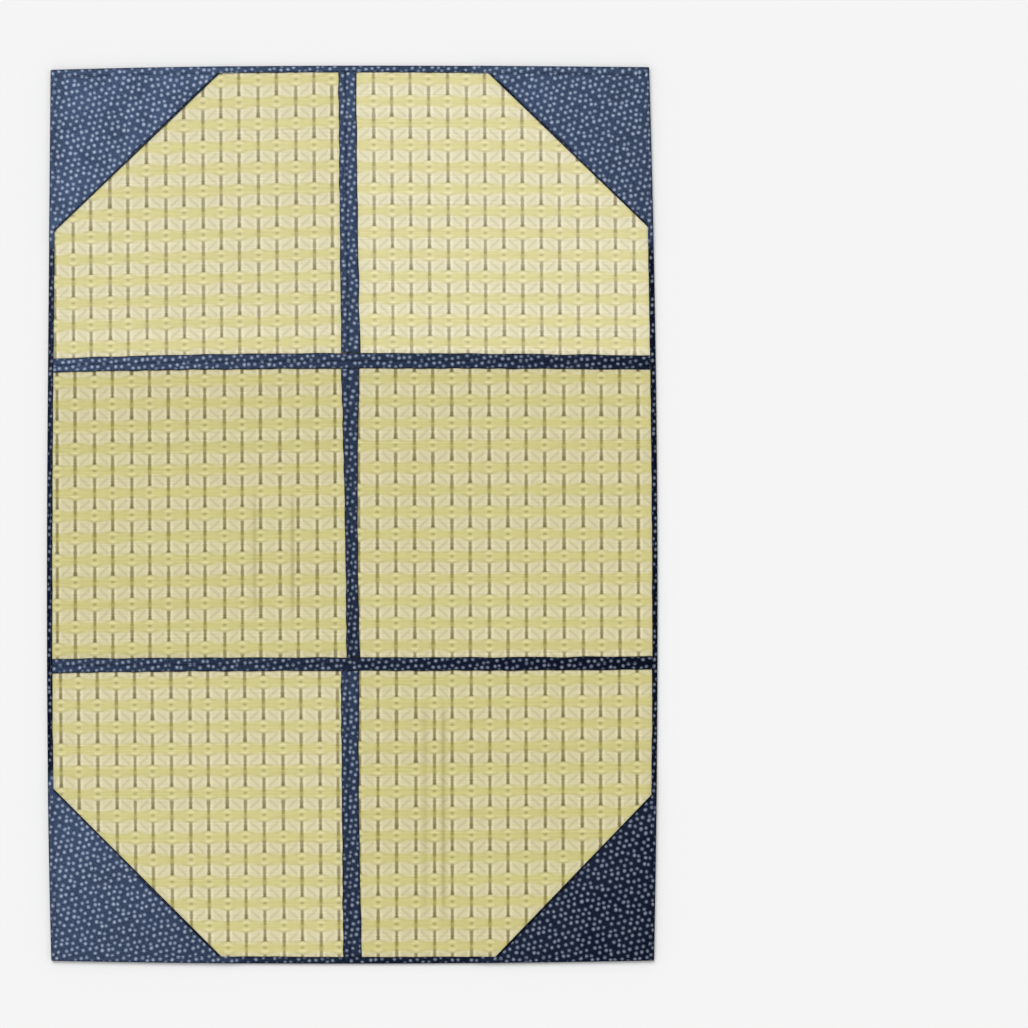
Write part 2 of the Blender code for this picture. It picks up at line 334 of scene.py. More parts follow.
class Nodes:
    """A node tree that nodes are added to one at a time."""

    def __init__(self, tree):
        self.tree = tree

    def put(self, socket, value):
        if isinstance(value, Socket):
            self.tree.links.new(value.output, socket)
        else:
            socket.default_value = value

    def add(self, kind, settings, inputs, output=0):
        """A new node: its settings first, then the values or links of its sockets."""
        node = self.tree.nodes.new(kind)
        for label, setting in settings.items():
            setattr(node, label, setting)
        for label, value in inputs.items():
            self.put(node.inputs[label], value)
        return Socket(self, node.outputs[output]) if node.outputs else None

    def mix(self, share, first, second):
        """A colour that goes from the first at a share of 0 to the second at 1."""
        inputs = {0: share, 6: first, 7: second}
        return self.add("ShaderNodeMix", {"data_type": "RGBA"}, inputs, 2)

    def scale(self, colour, amount):
        return self.add("ShaderNodeVectorMath", {"operation": "SCALE"}, {0: colour, 3: amount})

    def parts(self, vector):
        """The first two parts of a vector."""
        split = self.add("ShaderNodeSeparateXYZ", {}, {0: vector})
        return split, Socket(self, split.output.node.outputs[1])

    def join(self, first, second):
        return self.add("ShaderNodeCombineXYZ", {}, {0: first, 1: second})

    def attribute(self, label):
        return self.add("ShaderNodeAttribute", {"attribute_name": label}, {}, 2)

    def grain(self, first, second, detail=2.0):
        """Smooth random change over the surface, about 0.5."""
        inputs = {"Vector": self.join(first, second), "Scale": 1.0, "Detail": detail}
        return self.add("ShaderNodeTexNoise", {"noise_dimensions": "2D"}, inputs)

    def bump(self, height, strength):
        """A normal from a height in mm."""
        inputs = {"Strength": strength, "Distance": MM, "Height": height}
        return self.add("ShaderNodeBump", {}, inputs)


def turned(rows, first, second):
    """Two parts of a vector after a two by two matrix."""
    return [first * float(a) + second * float(b) for a, b in rows]


def new_finish(name, constants):
    """A material with its shader's fixed values, and its nodes."""
    material = bpy.data.materials.new(name)
    material.use_nodes = True
    shader = material.node_tree.nodes["Principled BSDF"]
    for label, value in constants.items():
        shader.inputs[label].default_value = value
    return material, Nodes(material.node_tree), shader.inputs


def rush_finish():
    """Bands of yellow and of cream rushes, with the stars, petals and slits of the figure."""
    constants = {"Specular IOR Level": 0.35, "Sheen Weight": 0.05}
    material, nodes, shader = new_finish("woven_rush", constants)
    warp, star = nodes.parts(nodes.add("ShaderNodeUVMap", {"uv_map": "cloth"}, {}))
    column = round(warp)
    aside = abs(warp - column) * WARP
    climb = (star + column) % 2
    along = (1 - abs(climb - 1)) * STAR_ROW
    from_row = abs(star - round(star)) * STAR_ROW
    stem = round(star * RUSHES)
    crest = abs(star * RUSHES - stem) * 2
    bright = nodes.attribute("bright")

    def rushes(pair):
        """The rush colour between its painted shade and its painted light, as the square is lit."""
        return nodes.mix(bright, *pair)

    # Each rush has its own tone, which changes slowly along it
    own = nodes.add("ShaderNodeTexWhiteNoise", {"noise_dimensions": "1D"}, {"W": stem})
    streak = nodes.grain(warp * 1.3, stem * 5.3)
    fibre = nodes.grain(warp * 46, star * 150, 1.0)
    patch = nodes.grain(warp * 0.45, star * 0.4)
    tone = 0.855 + 0.06 * own + 0.12 * streak + 0.05 * fibre

    # The yellow band is broad at its stars and narrow where the slits cross it
    from_star = aside + (WARP - 2 * aside) * along.ease(10.9, 11.2)
    wander = (patch - 0.5) * 2.4 + (streak - 0.5) * 1.6 + (own - 0.5)
    yellow_band = 1 - (from_row + wander + 0.09 * from_star).ease(3.8, 8.6)
    colour = nodes.mix(yellow_band, rushes(CREAM), rushes(YELLOW))

    # Petals: a broad stroke of painted shade from star to star through the cream rushes, along the
    # diagonal where the binding points step, with a faint one to each side
    slant = along - STAR_ROW / 2 - 0.9 * (WARP / 2 - aside) + (streak - 0.5) * 1.2
    in_cream = from_row.ease(4.2, 6.6)
    faint = slant.near(-5.4, 0.3, 1.9) + slant.near(5.4, 0.3, 1.9)
    stroke = slant.near(0.0, 0.7, 3.3) + 0.25 * faint
    stroke = stroke * in_cream * aside.ease(2.6, 5.4) * (0.6 + 0.8 * streak)
    colour = nodes.mix(stroke * 0.6, colour, rushes(PETAL_SHADE))

    # Painted highlight on the rushes where they turn down beside the slits, where these cross the cream
    by_slit = aside.near(2.9, 0.5, 2.2) * along.ease(5.6, 7.4)
    edge_highlight = by_slit * from_row.ease(3.2, 6.0) * (0.45 + streak)
    colour = nodes.mix(edge_highlight * 0.5, colour, rushes(EDGE_HIGHLIGHT))

    # Stars: a painted highlight in an arc above and below a small dark stitch, on the floats raised
    # there, with an outline round both
    bend = aside * aside
    outline = (along + 0.042 * bend).near(6.6, 0.4, 2.0)
    outline = outline * (1 - aside.ease(6.0, 9.8)) * aside.ease(0.8, 2.0)
    colour = nodes.mix(outline * 0.46, colour, rushes(STAR_OUTLINE))
    pale = (along + 0.075 * bend).near(3.8, 0.3, 1.6) * (1 - aside.ease(1.4, 5.4))
    colour = nodes.mix(pale * 0.66, colour, rushes(STAR_HIGHLIGHT))
    dash = (1 - aside.ease(0.7, 3.0)) * (1 - along.ease(0.3, 1.8))
    colour = nodes.mix(dash * 0.62, colour, rushes(SLIT_HEAD))

    # Slits along the warps, nearly closed by the yellow rushes: the warp seen in the gap with painted
    # shade, darkest and widest at their foot
    width = nodes.grain(column * 3.1, star * 1.7)
    up, down = climb * STAR_ROW, (2 - climb) * STAR_ROW
    heel_shade = 1 - up.ease(8.0, 14.0)
    flare = 0.14 * (1 - up.ease(7.0, 11.0))
    reach = aside * (1 - flare) + (width - 0.5) * 0.9 + (own - 0.5) * 0.45
    slit = (1 - reach.ease(0.6, 2.5)) * up.ease(5.3, 7.1) * down.ease(5.0, 8.2)
    painted_shade = nodes.mix(heel_shade, rushes(SLIT_HEAD), rushes(SLIT_FOOT))
    above = (star - round(star)) * STAR_ROW
    painted_shade = nodes.mix(above.near(-1.0, 0.8, 3.6), painted_shade, rushes(SLIT_PALE))
    painted_shade = nodes.mix(above.near(2.7, 0.9, 2.3), painted_shade, rushes(SLIT_OLIVE))
    colour = nodes.mix(slit * 0.95, colour, painted_shade)
    # Rushes pulled apart show the slits' olive, painted shade in the gap included
    colour = nodes.mix(nodes.attribute("pulled") * 0.5, colour, rushes(SLIT_OLIVE))

    # Painted shade in each groove between rushes, which are also rougher there
    groove = crest.ease(0.62, 1.0)
    nodes.put(shader["Base Color"], nodes.scale(colour, tone * (1 - 0.10 * groove)))
    nodes.put(shader["Roughness"], 0.50 + 0.14 * fibre + 0.10 * groove)
    height = 0.14 * (1 - crest * crest) + 0.05 * fibre
    nodes.put(shader["Normal"], nodes.bump(height, 0.6))
    return material


def ground_with_painted_shade(nodes, darker):
    """Indigo with painted shade that deepens from the head's left corner to the foot's right corner, and
    how much shade is painted.
    """
    x, y = nodes.parts(nodes.add("ShaderNodeTexCoord", {}, {}, 3))
    painted_shade = ((x / HALF_WIDTH - y / HALF_LENGTH) * 0.25 + 0.5 + darker).ease(0.2, 1.1)
    return nodes.mix(painted_shade, INDIGO, INDIGO_SHADED), painted_shade


def cotton_finish():
    """Indigo cotton with small scattered pale dots, with painted shade in its folds and painted shade
    that deepens towards the foot's right corner.
    """
    constants = {"Specular IOR Level": 0.03, "Sheen Weight": 0.02, "Sheen Roughness": 0.6}
    material, nodes, shader = new_finish("dotted_cotton", constants)
    across, along = nodes.parts(nodes.add("ShaderNodeUVMap", {"uv_map": "cloth"}, {}))
    fold_shade = nodes.attribute("fold_shade")
    drift = nodes.grain(across * 35, along * 35)

    # The dots stand in slanting rows, each a little out of its place
    heads = np.radians([DOT_TURN, DOT_TURN + 60])
    rows = DOT_PITCH * np.stack([np.cos(heads), np.sin(heads)])
    sway_x, sway_y = nodes.grain(across * 60, along * 60), nodes.grain(along * 60, across * 60)
    first, second = turned(np.linalg.inv(rows), across, along)
    place = nodes.join(first + 0.3 * sway_x, second + 0.3 * sway_y)
    cells = {"Vector": place, "Scale": 1.0, "Randomness": 0.42}
    nearest = nodes.add("ShaderNodeTexVoronoi", {"voronoi_dimensions": "2D"}, cells, 2)
    own, other = nodes.parts(Socket(nodes, nearest.output.node.outputs["Color"]))
    off = nodes.add("ShaderNodeVectorMath", {"operation": "SUBTRACT"}, {0: nearest, 1: place})
    off_x, off_y = turned(rows / MM, *nodes.parts(off))
    ragged = nodes.grain(across * 700, along * 700)
    reach = (off_x * off_x + off_y * off_y).math("SQRT") + 0.5 * (ragged - 0.5) - 0.2 * own
    dot = 1 - reach.ease(0.1, 2.45)

    # Painted shade over the ground, deeper on cloths with less painted light and mottled a little at
    # random; the dots dim under it too
    darker = 0.95 * (1 - nodes.attribute("bright")) + 0.25 * (drift - 0.5)
    ground, painted_shade = ground_with_painted_shade(nodes, darker)
    ground = nodes.scale(ground, 1.0 + 1.6 * (ragged - 0.5) + 0.5 * (drift - 0.5))
    pale = nodes.scale(nodes.mix(other, DOT_DULL, DOT_PALE), 0.88 - 0.42 * painted_shade)
    # Painted shade in the folds, which also hides the dots there
    colour = nodes.mix(dot * (0.95 - 0.35 * fold_shade), ground, pale)
    colour = nodes.mix(fold_shade * 0.8, colour, FOLD_SHADE)
    turns = 2 * np.pi / COTTON_WEAVE
    weave = (across * turns).math("SINE") * (along * turns).math("SINE")
    # Painted light and shade on the weave's threads, with random mottling
    tone = 1.0 + 0.08 * weave + 0.3 * (drift - 0.5) + 0.3 * (ragged - 0.5)
    nodes.put(shader["Base Color"], nodes.scale(colour, tone))
    nodes.put(shader["Roughness"], 0.88 - 0.05 * dot)
    pucker = nodes.grain(across * 160, along * 160)
    nodes.put(shader["Normal"], nodes.bump(0.05 * weave + 0.3 * pucker, 0.8))
    return material


def thread_finish():
    """Twisted indigo thread, with the same painted shade as the cloth beneath it."""
    material, nodes, shader = new_finish("sewing_thread", {"Specular IOR Level": 0.15})
    x, y = nodes.parts(nodes.add("ShaderNodeTexCoord", {}, {}, 3))
    twist = ((x + y) * (2 * np.pi / THREAD_TWIST)).math("SINE")
    shaded_indigo, _ = ground_with_painted_shade(nodes, 0.15)
    # Painted light and shade along the thread's twist
    nodes.put(shader["Base Color"], nodes.scale(shaded_indigo, 1.1 + 0.35 * twist))
    nodes.put(shader["Roughness"], 0.66 + 0.1 * twist)
    return material


def floor_finish():
    """Pale even studio floor."""
    constants = {"Specular IOR Level": 0.0, "Roughness": 1.0, "Base Color": FLOOR_PALE}
    return new_finish("pale_floor", constants)[0]


# Pieces


def new_piece(name, points, faces, uv, material, slot, attributes):
    """A smooth mesh that rides on the mat, with a UV pair for each corner of each face."""
    mesh = bpy.data.meshes.new(name)
    mesh.from_pydata(points, [], faces)
    layer = mesh.uv_layers.new(name="cloth")
    layer.uv.foreach_set("vector", np.asarray(uv, dtype=np.float32).ravel())
    for label, values in attributes.items():
        mesh.attributes.new(label, "FLOAT", "POINT").data.foreach_set("value", np.float32(values).ravel())
    mesh.materials.append(material)
    mesh.shade_smooth()
    piece = bpy.data.objects.new(name, mesh)
    bpy.context.scene.collection.objects.link(piece)
    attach(piece, "root")
    return piece


def skin(name, rings, fold_shades, bright, material, slot, flat=None):
    """Cloth skinned over rings of points, its ends closed, with the painted shade of its folds and its
    painted light for each.

    The dots lie as on the flat cloth: at the places given for the points of each ring and its first
    point again, or else as measured round the folds from the cloth's own place on the mat.
    """
    stations, around = rings.shape[:2]
    if flat is None:
        girth = np.linalg.norm(np.diff(rings, axis=1, append=rings[:, :1]), axis=2).mean(axis=0)
        strides = np.linalg.norm(np.diff(rings.mean(axis=1), axis=0), axis=1)
        across, along = (np.append(0.0, np.cumsum(steps)) for steps in (girth, strides))
        flat = np.stack(np.meshgrid(across, along), axis=2) + rings[0, 0, :2]
    faces, spots = [], []
    for s in range(stations - 1):
        near, far = s * around, (s + 1) * around
        for i in range(around):
            j = (i + 1) % around
            faces.append((near + i, near + j, far + j, far + i))
            spots.append((near + s + i, near + s + i + 1, far + s + i + 2, far + s + i + 1))
    last = stations - 1
    faces += [range(around)[::-1], range(last * around, stations * around)]
    spots += [range(around)[::-1], range(last * around + last, stations * around + last)]

    points = rings.reshape(-1, 3)
    a, b, c = (points[[face[i] for face in faces]] for i in range(3))
    if np.einsum("ij,ij->", a, np.cross(b, c)) < 0:
        faces, spots = ([loop[::-1] for loop in loops] for loops in (faces, spots))
    uv = flat.reshape(-1, 2)[np.concatenate(spots)]
    attributes = {"fold_shade": fold_shades, "bright": np.broadcast_to(bright, fold_shades.shape)}
    return new_piece(name, points, faces, uv, material, slot, attributes)


def declare(piece, node, width, length):
    """Hide the solid that the cloth stands for."""
    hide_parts(node)
    float(width)
    float(length)


# Rush squares


def weave_relief(warp, star):
    """How far the weave stands above the full thickness, at places in repeats of the figure."""
    column = np.round(warp)
    aside = np.abs(warp - column) * WARP
    along = (1 - np.abs((star + column) % 2 - 1)) * STAR_ROW
    rib = -0.15 * (1 + np.cos(2 * np.pi * aside / WARP))
    slit = -0.65 * (1 - ease(aside, 0.8, 2.0)) * ease(along, 5.6, 7.2)
    dash = -0.3 * (1 - ease(aside, 1.4, 3.6)) * (1 - ease(along, 0.4, 1.6))
    lens = 0.06 * (1 - ease(aside, 1.4, 5.4)) * np.exp(-(((along + 0.075 * aside**2 - 3.8) / 1.3) ** 2))
    return (rib + slit + dash + lens) * MM


def bent(lines, start, slope, low, high):
    """Lines of the mesh as straight as the weave, bent near the square's edges to follow them."""
    by_low = 1 - ease(lines - lines.min(), 0.0, BEND_REACH)
    by_high = 1 - ease(lines.max() - lines, 0.0, BEND_REACH)

    def places(other):
        off = slope * (other - start)
        low_gap, high_gap = low(other) - lines.min() - off, high(other) - lines.max() - off
        return lines + off + by_low * low_gap + by_high * high_gap

    return places


def grid_faces(start, count, wide):
    """The faces of a grid, so many points long and wide, that begins at a numbered point."""
    corner = start + (np.arange(count - 1)[:, None] * wide + np.arange(wide - 1)).ravel()
    return np.stack([corner, corner + 1, corner + wide + 1, corner + wide], axis=1)


def rush_square(row, side, borders, material):
    """One woven square, a ridge for every rush, pressed thin where the seams hold its edges."""
    (left, left_lip), (right, right_lip), (foot, foot_lip), (head, head_lip) = borders
    star_place, pitches, (lean, rise), bright = SQUARES[row, side]
    warp_at, star_at = np.array(star_place) * MM
    warp_pitch, star_pitch = np.array(pitches) * MM
    lean, rise = lean / 100, rise / 100
    x_low, x_high = float(left(star_at)), float(right(star_at))
    middle = (x_low + x_high) / 2
    y_low, y_high = float(foot(middle)), float(head(middle))

    first = round((x_low - warp_at) / warp_pitch) - 1
    last = round((x_high - warp_at) / warp_pitch) + 1
    warps = warp_at + warp_pitch * np.arange(first, last + 1)
    columns = (warps[:, None] + np.array(WARP_STEPS) * MM).ravel()
    columns = columns[(columns > x_low + MM) & (columns < x_high - MM)]
    columns = np.concatenate([[x_low], columns, [x_high]])
    rng = np.random.default_rng(SEED + round(abs(warp_at + star_at) / MM))
    uneven = np.interp(columns, warps, rng.uniform(-WARP_OFF_LINE, WARP_OFF_LINE, len(warps)))
    ridge = star_pitch / RUSHES / 2
    lowest, highest = np.ceil((y_low - star_at) / ridge), np.floor((y_high - star_at) / ridge)
    rows = star_at + ridge * np.arange(lowest + 1, highest)
    rows = np.concatenate([[y_low], rows, [y_high]])

    # Where the mesh lies on the mat, and in repeats of the figure
    x_of = bent((columns + uneven)[None, :], star_at, lean, left, right)
    y_of = bent(rows[:, None], warp_at, rise, foot, head)
    x, y = meet(x_of, y_of)
    warp = (x - uneven - warp_at - lean * (y - star_at)) / warp_pitch
    star = (y - star_at - rise * (x - warp_at)) / star_pitch

    clear = np.min([x - left_lip(y), right_lip(y) - x, y - foot_lip(x), head_lip(x) - y], axis=0)
    full = np.clip((clear - SEAM_CLEARANCE) / SWELL, 0.0, 1.0)
    rough = rng.normal(0.0, ROUGH_RUSH, (len(rows), 1)) + rng.normal(0.0, ROUGH_FIBRE, x.shape)
    ridges = rough - RUSH_RIDGE * (1 - np.cos(2 * np.pi * RUSHES * star)) / 2
    relief = RUSH - SEAM_ROOF + weave_relief(warp, star)
    top = SEAM_ROOF + full * relief + (0.2 + 0.8 * full) * ridges
    pulled = np.zeros(x.shape)
    pulled_at, (start, end) = PULLED.get((row, side), ((), (0, 1)))
    for place in pulled_at:
        fade = ease(y / MM, start, start + PULL_FADE) * (1 - ease(y / MM, end - PULL_FADE, end))
        pulled = pulled + fade * np.exp(-(((x / MM - place) / PULL_WIDTH) ** 2))
    top = top - PULL_DEPTH * pulled * full

    # A fine grid above, a coarse one below, and walls between them
    under = np.unique(np.append(np.arange(0, len(rows), UNDER_ROWS), len(rows) - 1))
    base = (SEAM_FLOOR * (1 - full))[under]
    upper = np.stack([x, y, top], axis=2).reshape(-1, 3)
    lower = np.stack([x[under], y[under], base], axis=2).reshape(-1, 3)
    wide, below = len(columns), len(upper)
    faces = grid_faces(0, len(rows), wide).tolist()
    faces += grid_faces(below, len(under), wide)[:, ::-1].tolist()
    last_row, last_under = (len(rows) - 1) * wide, below + (len(under) - 1) * wide
    for i in range(wide - 1):
        faces.append((below + i, below + i + 1, i + 1, i))
        faces.append((last_row + i, last_row + i + 1, last_under + i + 1, last_under + i))
    for s, (near, far) in enumerate(zip(under, under[1:])):
        for i in (0, wide - 1):
            wall = [j * wide + i for j in range(near, far + 1)]
            wall += [below + (s + 1) * wide + i, below + s * wide + i]
            faces.append(wall[::-1] if i else wall)

    # Each square has rushes of its own, so its figure starts another hundred rows on
    number = list(SQUARES).index((row, side))
    pair = np.stack([warp, star + 100 * number], axis=2)
    pair = np.concatenate([pair.reshape(-1, 2), pair[under].reshape(-1, 2)])
    uv = pair[np.concatenate([np.array(face) for face in faces])]
    pulled = np.concatenate([pulled.ravel(), pulled[under].ravel()])
    points = np.concatenate([upper, lower])
    attributes = {"bright": np.full(len(points), bright), "pulled": pulled}
    name = f"rush_sheet_{row}_{side}"
    piece = new_piece(name, points, faces, uv, material, "woven_rush", attributes)
    declare(piece, f"rush_{row}_{side}", x_high - x_low, y_high - y_low)


# Strips


def spread(width, grooves=()):
    """Places over the face of a strip or binding: close at its folds and grooves."""
    folds = np.array(FOLD_STEPS) * MM
    groups = [folds, width - folds]
    for groove in grooves:
        groups.append(groove + GROOVE_HALF * np.linspace(-1, 1, 7))
    places = np.unique(np.concatenate(groups))
    gaps = np.diff(places)
    return np.sort(np.concatenate([places, places[:-1][gaps > 3 * MM] + gaps[gaps > 3 * MM] / 2]))


def fold_drop(inset, radius):
    """How far a rounded fold lies below the face, at a distance in from the fold's edge."""
    short = np.clip(radius - inset, 0.0, radius)
    return radius - np.sqrt(radius**2 - short**2)


def strip_face(places, width, groove_at, groove):
    """Heights, and the painted shade of the folds and the groove, over the face of a strip."""
    inset = np.minimum(places, width - places)
    off = (places - groove_at) / GROOVE_HALF
    dip = np.where(np.abs(off) < 1, (1 + np.cos(np.pi * off)) / 2, 0.0)
    height = LIP_TOP - fold_drop(inset, FOLD) - groove * dip
    # Painted shade at the folded edges and in the sewn groove
    fold_shade = np.maximum(1 - ease(inset, 0.2 * MM, 1.5 * MM), 0.6 * dip**2)
    return height, fold_shade


def strip(name, edges, start, end, groove_at, groove, runs_across, bright, material):
    """Cloth folded over the edges of two squares and sewn down between them: an H on its side."""
    low, high = edges
    span = float(end(0.0) - start(0.0))
    stations = between(start, end, np.linspace(0.0, 1.0, round(span / SECTION) + 1))

    def place(lengthwise):
        return meet(stations, lengthwise) if runs_across else meet(lengthwise, stations)

    low_at, high_at = place(low), place(high)
    pick = 1 if runs_across else 0
    widths = high_at[pick] - low_at[pick]
    along = low_at[1 - pick]
    wide = float(widths.mean())
    web = groove_at * wide
    half = JOINT_WEB / 2
    face = spread(wide, (web,))
    height, fold_shade = strip_face(face, wide, web, groove)
    right = [(wide, LIP_UNDER), (web + half, LIP_UNDER), (web + half, COTTON), (wide, COTTON)]
    right += [(wide, UNDER_FOLD), (wide - UNDER_FOLD, 0.0)]
    left = [(UNDER_FOLD, 0.0), (0.0, UNDER_FOLD), (0.0, COTTON), (web - half, COTTON)]
    left += [(web - half, LIP_UNDER), (0.0, LIP_UNDER)]
    section = list(zip(face, height)) + right + left
    fold_shades = np.concatenate([fold_shade, np.full(len(right) + len(left), 0.7)])

    rings = np.empty((len(along), len(section), 3))
    for i, (across, z) in enumerate(section):
        x, y = place(between(low, high, across / wide))
        side = (across / wide - 0.5) * 2
        hand = sway(along, EDGE_SWAY, 31 if side > 0 else 53) * abs(side) ** 3
        lift = 0.0 if z < LIP_UNDER + 0.1 * MM else sway(along, FACE_SWAY, 71 + i // 4)
        x, y = (x, y + hand) if runs_across else (x + hand, y)
        rings[:, i, 0], rings[:, i, 1], rings[:, i, 2] = x, y, z + lift
    fold_shades = np.tile(fold_shades, (len(along), 1))
    piece = skin(name, rings, fold_shades, bright, material, "strip_cotton")
    girth = np.linalg.norm(np.diff(rings, axis=1, append=rings[:, :1]), axis=2).sum(axis=1).mean()
    declare(piece, name.replace("_cloth", ""), girth / 2, span)


# Bindings


def corner_rise(place, tips):
    """How far a binding is lifted by the corner cloths at its ends."""
    low, high = tips
    share = np.maximum(low + RISE_FROM - place, place - high + RISE_FROM) / (RISE_FROM - RISE_TO)
    return CORNER_RISE * np.clip(share, 0.0, 1.0)


def binding(side, ends, tips, material):
    """One side of the binding, mitred against the bindings at its two ends."""
    runs_along = side in ("left", "right")
    width_at = line(*BINDING_WIDTH[side])
    low_end, high_end = (float(OUTER[end](0.0)) for end in ends)
    inner = (low_end + MITRE_ROOM, high_end - MITRE_ROOM)
    middles = np.linspace(*inner, round((inner[1] - inner[0]) / SECTION) + 1)

    def stations(inward):
        """Where each section crosses the line that lies so far in from the mat's edge."""
        mitres = [beside(OUTER[end], INWARD[end] * (inward + GAP / 2)) for end in ends]

        def crossing(across):
            first, last = np.broadcast_to(across, len(middles) + 2)[[0, -1]]
            return np.concatenate([[mitres[0](first)], middles, [mitres[1](last)]])

        return crossing

    places = np.concatenate([[low_end], middles, [high_end]])
    widths = width_at(np.clip(places, inner[0], inner[1]))
    rise = corner_rise(places, tips)
    wide = float(widths.mean())

    # Points of a section: how far in from the edge, how high, how much of the corner's rise is on them,
    # and the painted shade of their folds at the lip and at the mat's edge
    face = spread(wide)[1:]
    inset = np.minimum(wide - face, wide)
    roof = LIP_TOP - fold_drop(wide - face, FOLD) - fold_drop(face, OUTER_FOLD)
    lip = 1 - ease(inset, 0.2 * MM, 1.2 * MM)
    fold = 0.8 * (1 - ease(face, 0.4 * MM, 1.8 * MM))
    upper = [(a, z, 1.0, c, d) for a, z, c, d in zip(face, roof, lip, fold)][::-1]
    upper = [(wide, LIP_UNDER, 1.0, 1.0, 0.0)] + upper
    turn = [(0.0, LIP_TOP - 1.6 * MM, 1.0, 0.0, 0.5), (0.0, 1.3 * MM, 0.0, 0.0, 0.5)]
    turn += [(0.35 * MM, 0.35 * MM, 0.0, 0.0, 0.8), (1.2 * MM, 0.0, 0.0, 0.0, 0.7)]
    under = [(wide, 0.0, 0.0, 0.0, 0.7), (wide, COTTON, 0.0, 0.0, 0.9)]
    under += [(COTTON, COTTON, 0.0, 0.0, 0.9), (COTTON, LIP_UNDER, 1.0, 0.0, 0.9)]
    section = upper + turn + under

    rings = np.empty((len(places), len(section), 3))
    for i, (a, z, lifted, *_) in enumerate(section):
        inward = a / wide * widths
        hand = sway(places, LIP_SWAY, 91) * (a / wide) ** 3
        curve = beside(OUTER[side], INWARD[side] * (inward + hand))
        station = stations(inward[[0, -1]].mean())
        x, y = meet(curve, station) if runs_along else meet(station, curve)
        pressed = 0.45 * rise * (a / wide) ** 2 * (z > LIP_UNDER)
        rings[:, i, 0], rings[:, i, 1], rings[:, i, 2] = x, y, z + lifted * rise - pressed

    # The dots run on from the corner cloths, over the face and down the side
    girth = np.linalg.norm(np.diff(rings, axis=1, append=rings[:, :1]), axis=2).mean(axis=0)
    unrolled = wide - np.cumsum(np.append(-girth[0], girth))
    edge = OUTER[side](places)[:, None] + INWARD[side] * unrolled
    lengthwise = np.concatenate([rings, rings[:, :1]], axis=1)[..., 1 if runs_along else 0]
    flat = np.stack([edge, lengthwise], axis=2)
    flat = flat if runs_along else flat[..., ::-1]
    # Over the corner cloths the painted shade at the lip fades, and the binding takes their painted light
    over = (rise / CORNER_RISE)[:, None]
    lip, fold = np.array(section).T[3:]
    fold_shades = np.maximum(lip * (1 - over), fold)
    bright = BINDING_PAINTED_LIGHT[side] + (1 - BINDING_PAINTED_LIGHT[side]) * over
    piece = skin(f"binding_cloth_{side}", rings, fold_shades, bright, material, "binding_cotton", flat)
    declare(piece, f"binding_{side}", girth.sum() / 2, high_end - low_end)


# Corner cloths


def corner_cloth(row, side, material):
    """A three-cornered cloth over a corner of the rush, its outer edges under the bindings."""
    (side_x, side_y), (end_x, end_y) = CORNERS[row, side]
    slope = (end_y - side_y) / (end_x - side_x)
    in_x, in_y = INWARD[side], INWARD[row]
    hidden_side = beside(OUTER[side], in_x * (COTTON + EDGE_ROOM))
    hidden_end = beside(OUTER[row], in_y * (COTTON + EDGE_ROOM))
    point = level(end_x * MM + in_x * POINT_UNDER)

    def slant(x):
        return side_y * MM + slope * (x - side_x * MM)

    def lift(x, y):
        """0 under a binding, 1 where the cloth lies on the full rush."""
        from_side = in_x * (x - LIP[side](y))
        from_end = in_y * (y - LIP[row](x))
        return ease(np.minimum(from_side, from_end), SEAM_CLEARANCE, SEAM_CLEARANCE + SWELL)

    # Rows of points from the end binding to the slanted edge, close together at its fold
    columns = between(hidden_side, point, np.linspace(0.0, 1.0, CORNER_COLUMNS))
    x_end, y_end = meet(columns, hidden_end)
    run = np.abs(meet(columns, slant)[1] - y_end)
    tilt = np.cos(np.arctan(slope))
    folds = np.array(FOLD_STEPS) * MM / max(tilt, 0.5)
    steps = np.linspace(0.0, 1.0, CORNER_ROWS)[:-1]
    rings, fold_shades = [], []
    for back in [*(run[:, None] * (1 - steps)).T, *folds[::-1][:, None]]:
        back = np.minimum(back, run * 0.999)
        share = 1 - np.maximum(back, 0.0) / run
        x, y = meet(columns, between(hidden_end, slant, share))
        up = lift(x, y)
        inset = run * (1 - share) * tilt
        warp = (x / MM - SQUARES[row, side][0][0]) / WARP
        sag = SAG * np.exp(-((((warp + 0.5) % 1 - 0.5) * WARP / 3.2) ** 2))
        ripple = RIPPLE * np.sin(x / (17 * MM) + 1.3) * np.sin(y / (23 * MM) + 0.4)
        base = LIP_UNDER + (GAP + ripple - 0.4 * sag) * up
        top = base + COTTON - fold_drop(inset, FOLD)
        rings.append((np.stack([x, y, base], axis=1), np.stack([x, y, top], axis=1)))
        # Painted shade along the folded slanted edge
        fold_shades.append(1 - ease(inset, 1.0 * MM, 2.8 * MM))
    lower, upper = (np.stack(sheet, axis=1) for sheet in zip(*rings))
    fold_shade = np.stack(fold_shades, axis=1)
    rings = np.concatenate([lower, upper[:, ::-1]], axis=1)
    fold_shades = np.concatenate([fold_shade, fold_shade[:, ::-1]], axis=1)
    name = f"corner_cloth_{row}_{side}"
    flat = np.concatenate([rings, rings[:, :1]], axis=1)[..., :2]
    piece = skin(name, rings, fold_shades, 1.0, material, "corner_cotton", flat)
    wide = abs(float(x_end[-1] - x_end[0]))
    tall = float(run[0])
    area = float(((run[1:] + run[:-1]) / 2 * np.abs(np.diff(x_end))).sum())
    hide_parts(f"corner_{row}_{side}")
    below = [f"rush_sheet_{row}_{side}"]


# Topstitching


